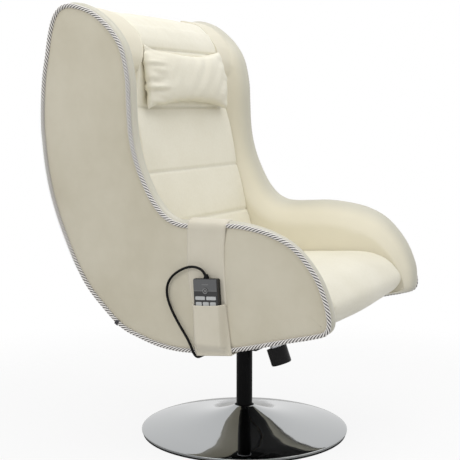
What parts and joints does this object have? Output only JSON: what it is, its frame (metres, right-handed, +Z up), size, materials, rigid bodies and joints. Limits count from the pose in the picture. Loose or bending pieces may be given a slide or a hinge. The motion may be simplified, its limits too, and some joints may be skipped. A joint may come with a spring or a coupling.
{
  "type": "massage chair",
  "caption": "Upholstered swivel massage armchair with head wings, channelled back, head pillow, corded hand control in an arm pocket and a round pedestal base.",
  "frame": {"origin": "on the floor, on the axis of the swivel column", "axes": "+Z up, the sitter looks along -Y, +X towards the sitter's left arm"},
  "size_m": [0.7316, 0.8313, 1.1799],
  "materials": {
    "side_cover": "matte",
    "cushion_cover": "satin",
    "strap_leather": "matte",
    "piping_cord": "satin",
    "lining": "matte",
    "chrome": "polished",
    "iron": "matte",
    "rubber": "matte",
    "black_steel": "satin",
    "bright_steel": "satin",
    "black_plastic": "satin",
    "grey_plastic": "matte",
    "motor_case": "satin",
    "plywood": "matte"
  },
  "bodies": {
    "base": {"base_disc": "chrome", "base_weight": "iron", "floor_pad": "rubber", "foot_bolts": "bright_steel", "column_tube": "black_steel", "column_bushing": "black_plastic", "thrust_bearing": "bright_steel"},
    "swivel": {"spindle": "bright_steel", "tilt_housing": "black_steel", "tilt_axle": "bright_steel", "stop_pads": "rubber"},
    "seat": {"side_panel_right": "side_cover", "side_panel_left": "side_cover", "piping_right": "piping_cord", "piping_left": "piping_cord", "rear_cover": "side_cover", "underside_cover": "lining", "seat_cushion": "cushion_cover", "back_cushion": "cushion_cover", "remote_pocket": "strap_leather", "pocket_pouch": "strap_leather", "seat_board": "plywood", "frame_brackets": "black_steel", "back_frame": "black_steel", "guide_rails": "bright_steel", "lift_motor": "motor_case", "control_box": "black_plastic", "power_inlet": "black_plastic", "seat_vibrators": "motor_case", "seat_plate": "black_steel", "plate_screws": "bright_steel", "tension_bolt": "bright_steel", "tension_spring": "bright_steel", "cord_grommet": "rubber", "handset_cord": "rubber"},
    "screw": {"lead_screw": "bright_steel"},
    "carriage": {"carriage_frame": "bright_steel", "kneading_motor": "motor_case"},
    "shaft": {"kneading_shaft": "bright_steel"},
    "kneader_right": {"arm_right": "black_plastic"},
    "kneader_left": {"arm_left": "black_plastic"},
    "wheel_1": {"roller_1": "rubber"},
    "wheel_2": {"roller_2": "rubber"},
    "wheel_3": {"roller_3": "rubber"},
    "wheel_4": {"roller_4": "rubber"},
    "pillow": {"headrest_pillow": "cushion_cover"},
    "washer": {"spring_seat": "bright_steel"},
    "knob": {"tension_knob": "black_plastic"},
    "handset": {"handset_front": "black_plastic", "handset_back": "black_plastic", "handset_board": "grey_plastic", "handset_gland": "rubber"},
    "power_key": {"power_button": "grey_plastic"},
    "left_key": {"key_left": "grey_plastic"},
    "right_key": {"key_right": "grey_plastic"},
    "course_1": {"course_key_1": "grey_plastic"},
    "course_2": {"course_key_2": "grey_plastic"},
    "course_3": {"course_key_3": "grey_plastic"}
  },
  "joints": [
    {"name": "swivel_turn", "type": "hinge", "parent": "base", "child": "swivel", "pos_m": [0, 0, 0.24], "axis": [0, 0, 1], "continuous": true},
    {"name": "recline", "type": "hinge", "parent": "swivel", "child": "seat", "pos_m": [0, -0.045, 0.268], "axis": [-1, 0, 0], "range_deg": [0, 15], "stiffness_Nm_per_rad": 320, "springref_deg": -17.19, "deforming": ["tension_spring"]},
    {"name": "carriage_travel", "type": "slide", "parent": "seat", "child": "carriage", "axis": [0, 0.1633, 0.9866], "range_m": [-0.1, 0.24]},
    {"name": "lead_screw_turn", "type": "hinge", "parent": "seat", "child": "screw", "pos_m": [0, 0.31522, 0.71053], "axis": [0, 0.1633, 0.9866], "range_deg": [-9000, 3700]},
    {"name": "kneading_turn", "type": "hinge", "parent": "carriage", "child": "shaft", "pos_m": [0, 0.28957, 0.71477], "axis": [1, 0, 0], "continuous": true},
    {"name": "kneader_right_swing", "type": "hinge", "parent": "carriage", "child": "kneader_right", "pos_m": [-0.075, 0.258, 0.72], "axis": [0, 0.9866, -0.1633], "range_deg": [-6, 6]},
    {"name": "kneader_left_swing", "type": "hinge", "parent": "carriage", "child": "kneader_left", "pos_m": [0.075, 0.258, 0.72], "axis": [0, 0.9866, -0.1633], "range_deg": [-6, 6]},
    {"name": "wheel_1_spin", "type": "hinge", "parent": "kneader_right", "child": "wheel_1", "pos_m": [-0.055, 0.23196, 0.77702], "axis": [1, 0, 0], "continuous": true},
    {"name": "wheel_2_spin", "type": "hinge", "parent": "kneader_right", "child": "wheel_2", "pos_m": [-0.055, 0.21498, 0.67441], "axis": [1, 0, 0], "continuous": true},
    {"name": "wheel_3_spin", "type": "hinge", "parent": "kneader_left", "child": "wheel_3", "pos_m": [0.055, 0.23196, 0.77702], "axis": [1, 0, 0], "continuous": true},
    {"name": "wheel_4_spin", "type": "hinge", "parent": "kneader_left", "child": "wheel_4", "pos_m": [0.055, 0.21498, 0.67441], "axis": [1, 0, 0], "continuous": true},
    {"name": "pillow_height", "type": "slide", "parent": "seat", "child": "pillow", "axis": [0, 0.1633, 0.9866], "range_m": [-0.03, 0.04]},
    {"name": "tension_travel", "type": "slide", "parent": "seat", "child": "washer", "axis": [0, 0.342, 0.9397], "range_m": [-0.0036, 0.0036], "deforming": ["tension_spring"]},
    {"name": "tension_knob_turn", "type": "hinge", "parent": "washer", "child": "knob", "pos_m": [0, -0.11586, 0.20397], "axis": [0, 0.342, 0.9397], "range_deg": [-720, 720]},
    {"name": "handset_lift", "type": "slide", "parent": "seat", "child": "handset", "axis": [0, 0.061, 0.9981], "range_m": [0, 0.1], "deforming": ["handset_cord"]},
    {"name": "power_press", "type": "slide", "parent": "handset", "child": "power_key", "axis": [1, 0, 0], "range_m": [0, 0.0006], "stiffness_N_per_m": 900, "springref_m": -0.0005},
    {"name": "left_press", "type": "slide", "parent": "handset", "child": "left_key", "axis": [1, 0, 0], "range_m": [0, 0.0006], "stiffness_N_per_m": 900, "springref_m": -0.0005},
    {"name": "right_press", "type": "slide", "parent": "handset", "child": "right_key", "axis": [1, 0, 0], "range_m": [0, 0.0006], "stiffness_N_per_m": 900, "springref_m": -0.0005},
    {"name": "course_1_press", "type": "slide", "parent": "handset", "child": "course_1", "axis": [1, 0, 0], "range_m": [0, 0.0006], "stiffness_N_per_m": 900, "springref_m": -0.0005},
    {"name": "course_2_press", "type": "slide", "parent": "handset", "child": "course_2", "axis": [1, 0, 0], "range_m": [0, 0.0006], "stiffness_N_per_m": 900, "springref_m": -0.0005},
    {"name": "course_3_press", "type": "slide", "parent": "handset", "child": "course_3", "axis": [1, 0, 0], "range_m": [0, 0.0006], "stiffness_N_per_m": 900, "springref_m": -0.0005}
  ],
  "couplings": [
    {"joint": "lead_screw_turn", "follows": "carriage_travel", "rad_per_m": -628.32},
    {"joint": "kneader_left_swing", "follows": "kneader_right_swing", "ratio": -1},
    {"joint": "tension_travel", "follows": "tension_knob_turn", "m_per_rad": 0.00027852}
  ]
}
